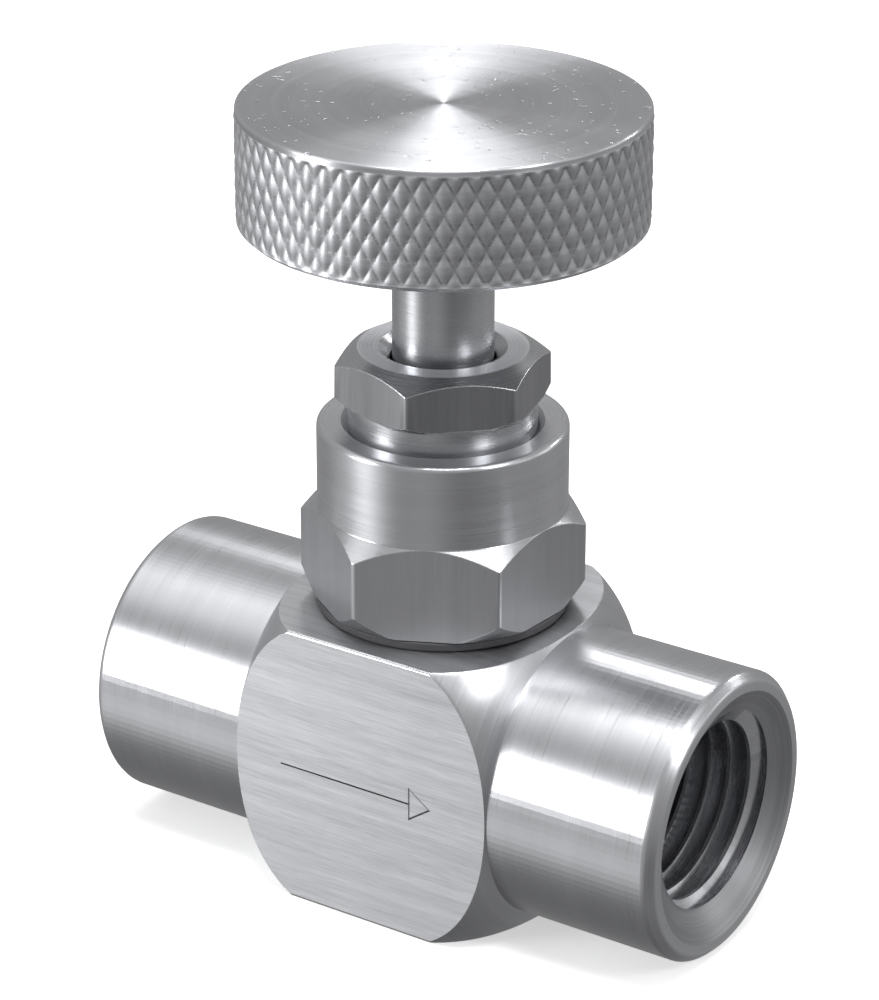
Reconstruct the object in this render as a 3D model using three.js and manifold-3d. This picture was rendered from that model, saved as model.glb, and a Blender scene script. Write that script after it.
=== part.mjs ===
// Needle valve: 1/4 in NPT female ports, 3/4 in square bar body, hexagon bonnet,
// packed stem and a knurled 1 in knob.
//
// Millimetres, +Z up the stem. The origin is the middle of the body's bottom flat.
// X runs with the flow, from the inlet at -X to the outlet at +X.
// Z levels are for the rest pose, with the needle three turns off its seat.

import * as THREE from 'three';
import { mergeVertices } from 'three/addons/utils/BufferGeometryUtils.js';
import Module from 'manifold-3d';

const wasm = await Module();
wasm.setup();

const INCH = 25.4;

// --- Driving dimensions -------------------------------------------------------

const BAR = 0.75 * INCH; // square bar, across flats
const BAR_EDGE = 0.25; // broken edge of the bar
const BODY_LENGTH = 42.6; // end face to end face
const PORT_OD = 18.8; // turned port cylinders
const PORT_EDGE = 0.55; // chamfer on the outer end edge
const CROWN_RADIUS = 7.8; // rounded shoulder between port and bar
const CROWN_OFFSET = 6.15; // its centre's distance from the port axis
const CROWN_X = 2.44; // its centre, along the port axis
const CROWN_FACETS = 6;

const NPT_TAPER = 1 / 32; // radius lost for each mm of depth
const TAP_DRILL = 11.1; // 1/4-18 NPT
const TAP_DEPTH = 12.5; // end face to the end of the full bore
const DRILL_POINT = THREE.MathUtils.degToRad(59); // half of a 118 degree point
const SINK_D = 16.4; // countersink at the end face
const SINK_HALF_ANGLE = THREE.MathUtils.degToRad(60);

const ORIFICE_D = 3.2; // upright hole that the needle closes
const SEAT_Z = 9.2; // top of the orifice
const PASSAGE_D = 3; // drilled flow passages
const INLET_PASSAGE_Z = 6.3;
const OUTLET_PASSAGE_Z = 10.9;
const CHAMBER_D = 8.8; // flow chamber over the seat
const BONNET_TAP_Z = 12.9; // bottom of the bonnet's tapped hole

const GASKET_THICK = 0.67; // also the gap between body and bonnet
const BONNET_BAR = 0.625 * INCH; // hexagon, across flats
const BONNET_CORNER_D = 18.1; // corners turned down to this
const BONNET_OD = 15.86; // cylinder above the hexagon
const BONNET_THREAD_D = 12.4; // screwed into the body
const BONNET_FOOT_Z = 13.2;
const BONNET_HEX_TOP = 25.92;
const BONNET_TOP = 31.42;
const BONNET_HEX_TURN = -3.9; // azimuth of one hexagon corner, degrees

const NUT_BAR = 11.9; // gland nut hexagon, across flats
const NUT_HEX_Z = 32.92;
const NUT_TOP = 36.32;
const NUT_SHANK_D = 11.8;
const NUT_SHANK_Z = 27.95; // lower end of the shank
const NUT_HEX_TURN = 14.2;

const STEM_D = 0.25 * INCH;
const STEM_THREAD_D = 7.94; // 5/16-24
const STEM_PITCH = INCH / 24;
const TURNS_OPEN = 3; // rest pose, counted from the seat
const STEM_THREAD_Z = 14.8;
const STEM_THREAD_TOP = 19.4;
const STEM_TOP = 49.5;

const NEEDLE_D = 4.4;
const NEEDLE_HALF_ANGLE = THREE.MathUtils.degToRad(20);
const NEEDLE_TIP_D = 0.7;
const SEAT_LIFT = 0.15; // lift left at the end of the closing travel

const PACKING_D = 9.4; // outer size of washer, rings and follower nose
const PACKING_Z = 22; // lower face of the washer
const PACKING_RING = 1; // thickness of one ring
const WASHER_THICK = 0.5;

const KNOB_D = 1 * INCH;
const KNOB_Z = 44.46;
const KNOB_TOP = 52.04;
const KNOB_TOP_EDGE = 0.25;
const KNOB_FOOT_EDGE = 0.35;
const SCREW_D = 3.3; // #6-32 set screw
const SCREW_LENGTH = 0.25 * INCH;
const SCREW_KEY = 1.6; // hexagon socket, across flats

const RUN_GAP = 0.3; // between a thread or bore and the piece in it
const STACK_GAP = 0.05; // between pieces that bear on each other
const BREAK_EDGE = 0.3; // small chamfers

const ROUND = 48; // facets of a full-size turned surface
const SMALL_ROUND = 32; // facets of a small one

// --- Values worked out from them ----------------------------------------------

const PORT_Z = BAR / 2; // height of the port axis
const BODY_TOP = BAR;
const END_X = BODY_LENGTH / 2;
const BONNET_HEX_Z = BODY_TOP + GASKET_THICK;
const STEM_BORE_D = STEM_D + RUN_GAP; // holes that the plain stem runs in
const PACKING_BORE_D = PACKING_D + RUN_GAP;
const SCREW_Z = (KNOB_Z + KNOB_TOP) / 2;

// --- Solids ---------------------------------------------------------------------

// Turned solid about +Z from [radius, height] pairs, bottom to top on the outside.
function turned(profile, facets = ROUND) {
  const points = profile.map(([radius, z]) => new THREE.Vector2(radius, z));
  return new THREE.LatheGeometry(points, facets).rotateX(Math.PI / 2);
}

// The same solid laid along +X.
function turnedAlongX(profile, facets = ROUND) {
  return turned(profile, facets).rotateY(Math.PI / 2);
}

// Washer-like ring between two radii and two heights.
function ring(inner, outer, bottom, top, facets = SMALL_ROUND) {
  return turned([[inner, bottom], [outer, bottom], [outer, top], [inner, top], [inner, bottom]], facets);
}

// Round bar between two heights.
function rod(radius, bottom, top, facets = SMALL_ROUND) {
  return turned([[0, bottom], [radius, bottom], [radius, top], [0, top]], facets);
}

// Hexagon bar along +Z. turn is the azimuth of one corner, from -Y towards +X.
function hexagonBar(acrossFlats, bottom, top, turn) {
  const shape = new THREE.Shape();
  const corner = acrossFlats / Math.sqrt(3);
  for (let side = 0; side < 6; side += 1) {
    const angle = THREE.MathUtils.degToRad(turn + 60 * side - 90);
    const x = corner * Math.cos(angle);
    const y = corner * Math.sin(angle);
    if (side === 0) shape.moveTo(x, y);
    else shape.lineTo(x, y);
  }
  shape.closePath();
  const bar = new THREE.ExtrudeGeometry(shape, { depth: top - bottom, bevelEnabled: false });
  return bar.translate(0, 0, bottom);
}

// Closed geometry to a manifold solid, its doubled vertices merged.
function solid(geometry) {
  const bare = geometry.clone();
  bare.deleteAttribute('normal');
  bare.deleteAttribute('uv');
  const merged = mergeVertices(bare);
  const triangles = [];
  const index = merged.index.array;
  for (let i = 0; i < index.length; i += 3) {
    const [a, b, c] = [index[i], index[i + 1], index[i + 2]];
    if (a !== b && b !== c && c !== a) triangles.push(a, b, c);
  }
  return new wasm.Manifold(new wasm.Mesh({
    numProp: 3,
    vertProperties: new Float32Array(merged.attributes.position.array),
    triVerts: new Uint32Array(triangles),
  }));
}

// Manifold solid back to a geometry.
function geometryOf(manifold) {
  const mesh = manifold.getMesh();
  const geometry = new THREE.BufferGeometry();
  geometry.setAttribute('position', new THREE.BufferAttribute(mesh.vertProperties, 3));
  geometry.setIndex(new THREE.BufferAttribute(mesh.triVerts, 1));
  geometry.computeVertexNormals();
  return geometry;
}

// base with every cutter taken away.
function cut(base, cutters) {
  let result = base;
  for (const cutter of cutters) result = result.subtract(solid(cutter));
  return result;
}

// --- Materials ------------------------------------------------------------------

const METAL = { metalness: 1, flatShading: true };
const brushedSteel = new THREE.MeshStandardMaterial({ color: 0xc4c4c2, roughness: 0.32, ...METAL });
const turnedSteel = new THREE.MeshStandardMaterial({ color: 0xb4b4b3, roughness: 0.28, ...METAL });
const darkSteel = new THREE.MeshStandardMaterial({ color: 0x8c8c8c, roughness: 0.4, ...METAL });
const knurledSteel = new THREE.MeshStandardMaterial({ color: 0xbfbfbe, roughness: 0.35, ...METAL });
const ptfe = new THREE.MeshStandardMaterial({
  color: 0xf2f1ec,
  roughness: 0.55,
  metalness: 0,
  flatShading: true,
});

// --- Body -------------------------------------------------------------------------

// Square bar with broken edges, along X.
function bodyBar() {
  const half = BAR / 2;
  const edge = half - BAR_EDGE;
  const shape = new THREE.Shape();
  shape.moveTo(-edge, -half);
  shape.lineTo(edge, -half);
  shape.lineTo(half, -edge);
  shape.lineTo(half, edge);
  shape.lineTo(edge, half);
  shape.lineTo(-edge, half);
  shape.lineTo(-half, edge);
  shape.lineTo(-half, -edge);
  shape.closePath();
  const bar = new THREE.ExtrudeGeometry(shape, { depth: BODY_LENGTH, bevelEnabled: false });
  return bar.translate(0, 0, -END_X).rotateY(Math.PI / 2).translate(0, 0, PORT_Z);
}

// Envelope turned about the port axis: port cylinder, shoulder, bar, shoulder, port.
function bodyTurning() {
  const port = PORT_OD / 2;
  const clearOfBar = BAR * 0.72; // just past the bar's corners
  const start = Math.asin((port - CROWN_OFFSET) / CROWN_RADIUS);
  const end = Math.asin((clearOfBar - CROWN_OFFSET) / CROWN_RADIUS);
  const shoulder = Array.from({ length: CROWN_FACETS + 1 }, (_, i) => {
    const angle = start + ((end - start) * i) / CROWN_FACETS;
    return [CROWN_OFFSET + CROWN_RADIUS * Math.sin(angle), CROWN_X + CROWN_RADIUS * Math.cos(angle)];
  });
  const profile = [
    [0, -END_X],
    [port - PORT_EDGE, -END_X],
    [port, -END_X + PORT_EDGE],
    ...shoulder.map(([radius, x]) => [radius, -x]),
    ...shoulder.toReversed(),
    [port, END_X - PORT_EDGE],
    [port - PORT_EDGE, END_X],
    [0, END_X],
  ];
  return turnedAlongX(profile, 64).translate(0, 0, PORT_Z);
}

// Tapped port bore at the +X end: countersink, tapered bore and drill point.
function portBore() {
  const foot = END_X - TAP_DEPTH;
  const bore = TAP_DRILL / 2;
  const mouth = bore + TAP_DEPTH * NPT_TAPER;
  const sink = SINK_D / 2;
  const sinkDepth = (sink - mouth) / Math.tan(SINK_HALF_ANGLE);
  const past = 1;
  const profile = [
    [0, foot - bore / Math.tan(DRILL_POINT)],
    [bore, foot],
    [mouth, END_X - sinkDepth],
    [sink, END_X],
    [sink, END_X + past],
    [0, END_X + past],
  ];
  return turnedAlongX(profile).translate(0, 0, PORT_Z);
}

// Round passage along X.
function passage(fromX, toX, z) {
  return rod(PASSAGE_D / 2, fromX, toX).rotateY(Math.PI / 2).translate(0, 0, z);
}

// Tapped hole for the bonnet, flow chamber and seat orifice, in one turned cutter.
function bonnetHole() {
  const tapped = BONNET_THREAD_D / 2 + RUN_GAP;
  const chamber = CHAMBER_D / 2;
  const orifice = ORIFICE_D / 2;
  const well = INLET_PASSAGE_Z - PASSAGE_D / 2 - BREAK_EDGE;
  const past = 1;
  return turned([
    [0, well],
    [orifice, well],
    [orifice, SEAT_Z],
    [chamber, SEAT_Z],
    [chamber, BONNET_TAP_Z],
    [tapped, BONNET_TAP_Z],
    [tapped, BODY_TOP - BREAK_EDGE],
    [tapped + BREAK_EDGE, BODY_TOP],
    [tapped + BREAK_EDGE, BODY_TOP + past],
    [0, BODY_TOP + past],
  ]);
}

// Shallow flow arrow on the -Y flat: a shaft along the port axis and an open head.
function flowArrow() {
  const line = 0.2;
  const depth = 0.12;
  const tail = -6;
  const headBack = 3.75;
  const headTip = 5.45;
  const headHalf = 1.15;
  const shape = new THREE.Shape();
  shape.moveTo(tail, -line / 2);
  shape.lineTo(headBack, -line / 2);
  shape.lineTo(headBack, -headHalf);
  shape.lineTo(headTip, 0);
  shape.lineTo(headBack, headHalf);
  shape.lineTo(headBack, line / 2);
  shape.lineTo(tail, line / 2);
  shape.closePath();
  const island = new THREE.Path();
  island.moveTo(headBack + line, -headHalf + 2 * line);
  island.lineTo(headBack + line, headHalf - 2 * line);
  island.lineTo(headTip - 2 * line, 0);
  island.closePath();
  shape.holes.push(island);
  const past = 1;
  const mark = new THREE.ExtrudeGeometry(shape, { depth: depth + past, bevelEnabled: false });
  return mark.rotateX(Math.PI / 2).translate(0, -BAR / 2 + depth, PORT_Z);
}

function bodyGeometry() {
  const blank = solid(bodyBar()).intersect(solid(bodyTurning()));
  const throughPort = END_X - TAP_DEPTH + PASSAGE_D / 2;
  return geometryOf(cut(blank, [
    portBore(),
    portBore().translate(0, 0, -PORT_Z).rotateZ(Math.PI).translate(0, 0, PORT_Z),
    bonnetHole(),
    passage(-throughPort, 0, INLET_PASSAGE_Z),
    passage(0, throughPort, OUTLET_PASSAGE_Z),
    flowArrow(),
  ]));
}

// --- Bonnet -----------------------------------------------------------------------

// Hexagon with its corners turned: steep chamfer below, 45 degree chamfer above.
function bonnetHexagon() {
  const corner = BONNET_CORNER_D / 2;
  const cylinder = BONNET_OD / 2;
  const foot = 8.2;
  const footChamfer = 1.1;
  const envelope = turned([
    [0, BONNET_HEX_Z],
    [foot, BONNET_HEX_Z],
    [corner, BONNET_HEX_Z + footChamfer],
    [corner, BONNET_HEX_TOP - (corner - cylinder)],
    [cylinder, BONNET_HEX_TOP],
    [0, BONNET_HEX_TOP],
  ]);
  const bar = hexagonBar(BONNET_BAR, BONNET_HEX_Z, BONNET_HEX_TOP, BONNET_HEX_TURN);
  return solid(bar).intersect(solid(envelope));
}

// Everything turned on the bonnet: screwed foot, undercut, and the cylinder on top.
function bonnetTurning() {
  const thread = BONNET_THREAD_D / 2;
  const undercut = thread - 0.5;
  const cylinder = BONNET_OD / 2;
  return turned([
    [0, BONNET_FOOT_Z],
    [thread - BREAK_EDGE, BONNET_FOOT_Z],
    [thread, BONNET_FOOT_Z + BREAK_EDGE],
    [thread, BODY_TOP - 0.7],
    [undercut, BODY_TOP - 0.4],
    [undercut, BONNET_HEX_Z + 0.5],
    [cylinder - 0.5, BONNET_HEX_Z + 0.5],
    [cylinder, BONNET_HEX_TOP - 0.5],
    [cylinder, BONNET_TOP - BREAK_EDGE],
    [cylinder - BREAK_EDGE, BONNET_TOP],
    [0, BONNET_TOP],
  ]);
}

// Stem thread, back shoulder, stem hole, packing box and gland thread, from below.
function bonnetBore() {
  const stemThread = STEM_THREAD_D / 2 + RUN_GAP;
  const shoulder = STEM_THREAD_TOP + STEM_PITCH + STACK_GAP * 2;
  const gland = NUT_SHANK_D / 2 + RUN_GAP;
  const glandFoot = 26.95;
  const past = 1;
  return turned([
    [0, BONNET_FOOT_Z - past],
    [stemThread, BONNET_FOOT_Z - past],
    [stemThread, shoulder],
    [STEM_BORE_D / 2, shoulder],
    [STEM_BORE_D / 2, PACKING_Z - STACK_GAP],
    [PACKING_BORE_D / 2, PACKING_Z - STACK_GAP],
    [PACKING_BORE_D / 2, glandFoot],
    [gland, glandFoot],
    [gland, BONNET_TOP - BREAK_EDGE],
    [gland + BREAK_EDGE, BONNET_TOP],
    [gland + BREAK_EDGE, BONNET_TOP + past],
    [0, BONNET_TOP + past],
  ]);
}

function bonnetGeometry() {
  return geometryOf(cut(solid(bonnetTurning()).add(bonnetHexagon()), [bonnetBore()]));
}

// --- Gland nut --------------------------------------------------------------------

function glandNutGeometry() {
  const shank = NUT_SHANK_D / 2;
  const corner = NUT_BAR / Math.sqrt(3) + 0.1; // clear of the hexagon's corners
  const faceRadius = 5.3; // where the 30 degree chamfer starts
  const chamfer = (corner - faceRadius) * Math.tan(Math.PI / 6);
  const overlap = 0.5;
  const hexagon = solid(hexagonBar(NUT_BAR, NUT_HEX_Z, NUT_TOP, NUT_HEX_TURN)).intersect(solid(turned([
    [0, NUT_HEX_Z],
    [corner - BREAK_EDGE, NUT_HEX_Z],
    [corner, NUT_HEX_Z + BREAK_EDGE],
    [corner, NUT_TOP - chamfer],
    [faceRadius, NUT_TOP],
    [0, NUT_TOP],
  ])));
  const shankRod = turned([
    [0, NUT_SHANK_Z],
    [shank - BREAK_EDGE, NUT_SHANK_Z],
    [shank, NUT_SHANK_Z + BREAK_EDGE],
    [shank, NUT_HEX_Z + overlap],
    [0, NUT_HEX_Z + overlap],
  ]);
  const bore = STEM_BORE_D / 2;
  const sink = 4.05;
  const past = 1;
  const stemHole = turned([
    [0, NUT_SHANK_Z - past],
    [bore, NUT_SHANK_Z - past],
    [bore, NUT_TOP - (sink - bore)],
    [sink, NUT_TOP],
    [sink, NUT_TOP + past],
    [0, NUT_TOP + past],
  ]);
  return geometryOf(cut(hexagon.add(solid(shankRod)), [stemHole]));
}

// --- Packing ----------------------------------------------------------------------

// Rings stack up from the packing washer, each STACK_GAP above the one below.
function packingRingBottom(number) {
  return PACKING_Z + WASHER_THICK + STACK_GAP + number * (PACKING_RING + STACK_GAP);
}

function packingRingGeometry(number) {
  const bottom = packingRingBottom(number);
  return ring(STEM_BORE_D / 2, PACKING_D / 2, bottom, bottom + PACKING_RING);
}

// Nose in the packing box and a flange under the gland nut.
function glandFollowerGeometry() {
  const bore = STEM_BORE_D / 2;
  const nose = PACKING_D / 2;
  const flange = 5.6;
  const bottom = packingRingBottom(3);
  const flangeBottom = 27.05;
  const top = NUT_SHANK_Z - STACK_GAP * 2;
  return turned([
    [bore, bottom],
    [nose, bottom],
    [nose, flangeBottom],
    [flange, flangeBottom],
    [flange, top],
    [bore, top],
    [bore, bottom],
  ]);
}

// --- Stem and needle --------------------------------------------------------------

const NECK_D = 2.2; // needle neck in the stem's mouth
const HEAD_D = 3.2; // needle head held in the stem's socket
const MOUTH_DEPTH = 0.8;
const SOCKET_DEPTH = 3.6;

// Spindle with the needle's socket in its foot and a flat for the set screw.
function stemGeometry() {
  const plain = STEM_D / 2;
  const thread = STEM_THREAD_D / 2;
  const mouth = NECK_D / 2 + RUN_GAP;
  const socket = HEAD_D / 2 + RUN_GAP;
  const spindle = turned([
    [0, STEM_THREAD_Z + SOCKET_DEPTH],
    [socket, STEM_THREAD_Z + SOCKET_DEPTH],
    [socket, STEM_THREAD_Z + MOUTH_DEPTH],
    [mouth, STEM_THREAD_Z + MOUTH_DEPTH],
    [mouth, STEM_THREAD_Z],
    [thread - BREAK_EDGE, STEM_THREAD_Z],
    [thread, STEM_THREAD_Z + BREAK_EDGE],
    [thread, STEM_THREAD_TOP - BREAK_EDGE],
    [thread - BREAK_EDGE, STEM_THREAD_TOP],
    [plain, STEM_THREAD_TOP],
    [plain, STEM_TOP - BREAK_EDGE],
    [plain - BREAK_EDGE, STEM_TOP],
    [0, STEM_TOP],
  ]);
  const flatWidth = STEM_D;
  const flatHeight = 3.4;
  const flatDepth = 0.4;
  const flat = new THREE.BoxGeometry(flatWidth, flatWidth, flatHeight);
  flat.translate(0, plain - flatDepth + flatWidth / 2, STEM_TOP - flatHeight / 2 + BREAK_EDGE);
  return geometryOf(cut(solid(spindle), [flat]));
}

// Needle that swivels in the stem's foot: cone, shoulder, neck and head.
function needleGeometry() {
  const shoulder = NEEDLE_D / 2;
  const tip = NEEDLE_TIP_D / 2;
  const slope = Math.tan(NEEDLE_HALF_ANGLE);
  const seatZ = SEAT_Z + TURNS_OPEN * STEM_PITCH + SEAT_LIFT; // where the cone is as wide as the seat
  const seat = ORIFICE_D / 2;
  const neckTop = STEM_THREAD_Z + MOUTH_DEPTH + RUN_GAP;
  return turned([
    [0, seatZ - (seat - tip) / slope],
    [tip, seatZ - (seat - tip) / slope],
    [shoulder, seatZ + (shoulder - seat) / slope],
    [shoulder, STEM_THREAD_Z - RUN_GAP],
    [NECK_D / 2, STEM_THREAD_Z - RUN_GAP],
    [NECK_D / 2, neckTop],
    [HEAD_D / 2, neckTop],
    [HEAD_D / 2, STEM_THREAD_Z + SOCKET_DEPTH - RUN_GAP],
    [0, STEM_THREAD_Z + SOCKET_DEPTH - RUN_GAP],
  ], SMALL_ROUND);
}

// --- Knob and its set screw -------------------------------------------------------

// Round bar along +Y between two distances from the stem axis, at the screw's height.
function crossRod(radius, from, to) {
  return rod(radius, from, to).rotateX(-Math.PI / 2).translate(0, 0, SCREW_Z);
}

function knobGeometry() {
  const rim = KNOB_D / 2;
  const disc = turned([
    [0, KNOB_Z],
    [rim - KNOB_FOOT_EDGE, KNOB_Z],
    [rim, KNOB_Z + KNOB_FOOT_EDGE],
    [rim, KNOB_TOP - KNOB_TOP_EDGE],
    [rim - KNOB_TOP_EDGE, KNOB_TOP],
    [0, KNOB_TOP],
  ], 96);
  const bore = STEM_BORE_D / 2;
  const past = 1;
  const stemHole = rod(bore, KNOB_Z - past, STEM_TOP + RUN_GAP, ROUND);
  const screwHole = crossRod(SCREW_D / 2 + RUN_GAP, bore - RUN_GAP, rim + past);
  return geometryOf(cut(solid(disc), [stemHole, screwHole]));
}

// Headless screw from the stem's flat outwards, with a hexagon socket.
function setScrewGeometry() {
  const from = STEM_D / 2 - 0.05;
  const to = from + SCREW_LENGTH;
  const socketDepth = 2;
  const past = 1;
  const socket = hexagonBar(SCREW_KEY, to - socketDepth, to + past, 0);
  socket.rotateX(-Math.PI / 2).translate(0, 0, SCREW_Z);
  return geometryOf(cut(solid(crossRod(SCREW_D / 2, from, to)), [socket]));
}

// --- Assembly ---------------------------------------------------------------------

const valve = new THREE.Group();
const spindle = new THREE.Group(); // turns and rises with the knob
valve.add(spindle);

function addPiece(group, name, geometry, material) {
  const piece = new THREE.Mesh(geometry, material);
  piece.name = name;
  group.add(piece);
}

const washerTop = PACKING_Z + WASHER_THICK;
const gasketBore = BONNET_THREAD_D / 2 + RUN_GAP;
const gasketRim = 8.05;

addPiece(valve, 'body', bodyGeometry(), brushedSteel);
addPiece(valve, 'bonnet', bonnetGeometry(), turnedSteel);
addPiece(
  valve,
  'bonnet_gasket',
  ring(gasketBore, gasketRim, BODY_TOP + STACK_GAP, BONNET_HEX_Z - STACK_GAP),
  darkSteel,
);
addPiece(valve, 'packing_washer', ring(STEM_BORE_D / 2, PACKING_D / 2, PACKING_Z, washerTop), turnedSteel);
['lower', 'middle', 'upper'].forEach((place, number) => {
  addPiece(valve, `packing_ring_${place}`, packingRingGeometry(number), ptfe);
});
addPiece(valve, 'gland_follower', glandFollowerGeometry(), turnedSteel);
addPiece(valve, 'gland_nut', glandNutGeometry(), turnedSteel);
addPiece(valve, 'needle_tip', needleGeometry(), turnedSteel);
addPiece(spindle, 'stem', stemGeometry(), turnedSteel);
addPiece(spindle, 'knob', knobGeometry(), knurledSteel);
addPiece(spindle, 'knob_set_screw', setScrewGeometry(), darkSteel);

export default valve;
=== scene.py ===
"""The looks of the needle valve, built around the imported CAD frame.

Sizes are in millimetres here and become metres when a mesh is made. +Z runs up the stem
and +X with the flow. Levels that the CAD model sets are read from the frame's boxes.
"""

import math

import bmesh
import bpy
import numpy as np
from mathutils import Matrix, Vector


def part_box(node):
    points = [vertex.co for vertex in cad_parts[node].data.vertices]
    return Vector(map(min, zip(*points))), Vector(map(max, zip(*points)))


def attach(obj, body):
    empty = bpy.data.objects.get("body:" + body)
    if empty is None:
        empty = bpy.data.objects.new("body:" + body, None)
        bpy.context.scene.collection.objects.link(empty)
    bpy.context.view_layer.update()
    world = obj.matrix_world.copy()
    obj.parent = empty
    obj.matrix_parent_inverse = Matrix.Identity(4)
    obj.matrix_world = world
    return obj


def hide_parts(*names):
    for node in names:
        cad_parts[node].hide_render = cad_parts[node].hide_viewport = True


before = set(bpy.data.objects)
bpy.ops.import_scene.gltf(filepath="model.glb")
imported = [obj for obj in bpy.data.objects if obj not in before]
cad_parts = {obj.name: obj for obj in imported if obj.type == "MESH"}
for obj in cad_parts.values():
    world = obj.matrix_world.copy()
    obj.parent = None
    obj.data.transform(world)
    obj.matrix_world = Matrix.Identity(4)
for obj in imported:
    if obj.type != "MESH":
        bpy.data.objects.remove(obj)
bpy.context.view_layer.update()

MM = 0.001
INCH = 25.4
TURN = 2 * math.pi


def box_mm(node):
    """Lowest and highest corner of a CAD node, in millimetres."""
    low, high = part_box(node)
    return np.array(low) / MM, np.array(high) / MM


# --- Sizes read from the frame ---

_, body_high = box_mm("body")
bonnet_low, bonnet_high = box_mm("bonnet")
nut_low, nut_high = box_mm("gland_nut")
stem_low, stem_high = box_mm("stem")
knob_low, knob_high = box_mm("knob")
screw_low, screw_high = box_mm("knob_set_screw")

BODY_TOP = body_high[2]
HALF_BAR = BODY_TOP / 2
PORT_Z = HALF_BAR
END_X = body_high[0]
BONNET_FOOT = bonnet_low[2]
BONNET_TOP = bonnet_high[2]
NUT_FOOT = nut_low[2]
NUT_TOP = nut_high[2]
STEM_FOOT = stem_low[2]
STEM_TOP = stem_high[2]
KNOB_FOOT = knob_low[2]
KNOB_TOP = knob_high[2]
KNOB_RADIUS = knob_high[0]

# --- Sizes of the finer shape ---

PORT_RADIUS = 9.4
PORT_EDGE = 0.55
CROWN_RADIUS = 7.8  # rounded shoulder between port and bar
CROWN_OFFSET = 6.15  # its centre's distance from the port axis
CROWN_X = 2.44  # its centre, along the port axis
CROWN_STEPS = 14  # straight steps along the shoulder
BAR_EDGE = 0.22

ARROW_WIDTH = 0.12
ARROW_DEPTH = 0.05
ARROW_TAIL_X = -6.0
ARROW_HEAD_X = 3.85
ARROW_TIP_X = 5.35
ARROW_HALF = 1.05  # half the head's height

NPT_PITCH = INCH / 18
NPT_TAPER = 1 / 32  # radius for each mm of depth
NPT_HEIGHT = 1.05  # crest to root
TAP_RADIUS = 5.55
TAP_DEPTH = 12.5
PORT_MOUTH = TAP_RADIUS + TAP_DEPTH * NPT_TAPER  # bore radius at the port's face
THREAD_DEPTH = 10.8
THREAD_FADE = 2.0  # the thread runs out over this last length
SINK_RADIUS = 8.2
SINK_HALF_ANGLE = math.radians(60)
DRILL_POINT = math.radians(59)

SEAT_Z = 9.2
ORIFICE_RADIUS = 1.6
PASSAGE_RADIUS = 1.5
INLET_PASSAGE_Z = 6.3
OUTLET_PASSAGE_Z = 10.9
CHAMBER_RADIUS = 4.4
BONNET_TAP_Z = 12.9

BONNET_THREAD = 6.2
BONNET_PITCH = INCH / 20
BONNET_TAP_RADIUS = BONNET_THREAD - 0.6
BONNET_TAP_START = BONNET_TAP_Z + 1.0
BONNET_RELIEF = 5.5
HEX_FOOT = BODY_TOP + 0.67
HEX_TOP = 25.92
HEX_APOTHEM = 0.625 * INCH / 2
HEX_FOOT_RADIUS = 8.2
HEX_EDGE = 0.4
HEX_TURN = math.radians(-3.9)
BONNET_RADIUS = 7.93

NUT_APOTHEM = 11.9 / 2
NUT_HEX_Z = 32.92
NUT_FACE_RADIUS = 5.3
NUT_FOOT_RADIUS = NUT_APOTHEM + 0.35
NUT_TURN = math.radians(14.2)
NUT_EDGE = 0.25
NUT_SHANK = 5.95
NUT_PITCH = INCH / 32
NUT_THREAD_HEIGHT = 0.45
GLAND_FOOT = 26.95

STEM_RADIUS = 0.25 * INCH / 2
STEM_BORE = STEM_RADIUS + 0.15
STEM_THREAD = 7.94 / 2
STEM_PITCH = INCH / 24
STEM_THREAD_HEIGHT = 0.6
STEM_THREAD_TOP = 19.4
TURNS_OPEN = 3

NEEDLE_RADIUS = 2.2
NEEDLE_SLOPE = math.tan(math.radians(20))
NEEDLE_TIP = 0.35
SEAT_LIFT = 0.15
NECK_RADIUS = 1.1
HEAD_RADIUS = 1.6
MOUTH_DEPTH = 0.8
SOCKET_DEPTH = 3.6
LOOSE = 0.15

PACKING_RADIUS = 4.7
PACKING_Z = 22
STACK_GAP = 0.05
FLANGE_Z = 27.05

KNURL_COUNT = 64
KNURL_ROW = 2.25
KNURL_DEPTH = 0.14
KNURL_FOOT = 0.6 * KNURL_DEPTH  # how far the rim's lower edge lies inside the crests
KNURL_BAND = 0.35  # plain rim beside the knurl, as a share of its depth
KNURL_DOME = 0.8  # how full the domes are; 0 would be a plain cylinder
KNOB_LIP = 0.42
KNOB_FOOT_EDGE = 0.35

SCREW_RADIUS = 1.7  # #6-32
SCREW_PITCH = INCH / 32
SCREW_THREAD_HEIGHT = 0.4
SCREW_TAP_RADIUS = SCREW_RADIUS - SCREW_THREAD_HEIGHT + 0.1
SCREW_Z = (screw_low[2] + screw_high[2]) / 2
SCREW_KEY = 0.8  # hexagon socket, centre to flat

MALE_CREST = 0.2  # share of the pitch left as crest on outer threads

# --- Mesh tools ---

ARC_STEP = math.radians(18)
COLUMN_EASE = 0.8  # how much closer the columns stand beside a rounded edge
BEND = "bend"
BEND_GAIN = 1.2
LARGE_FLAT = 6.0  # square mm of one plane that make it a flat
LARGE_TURNED = 6.0  # square mm of one cone or cylinder that make it a turned face


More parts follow.
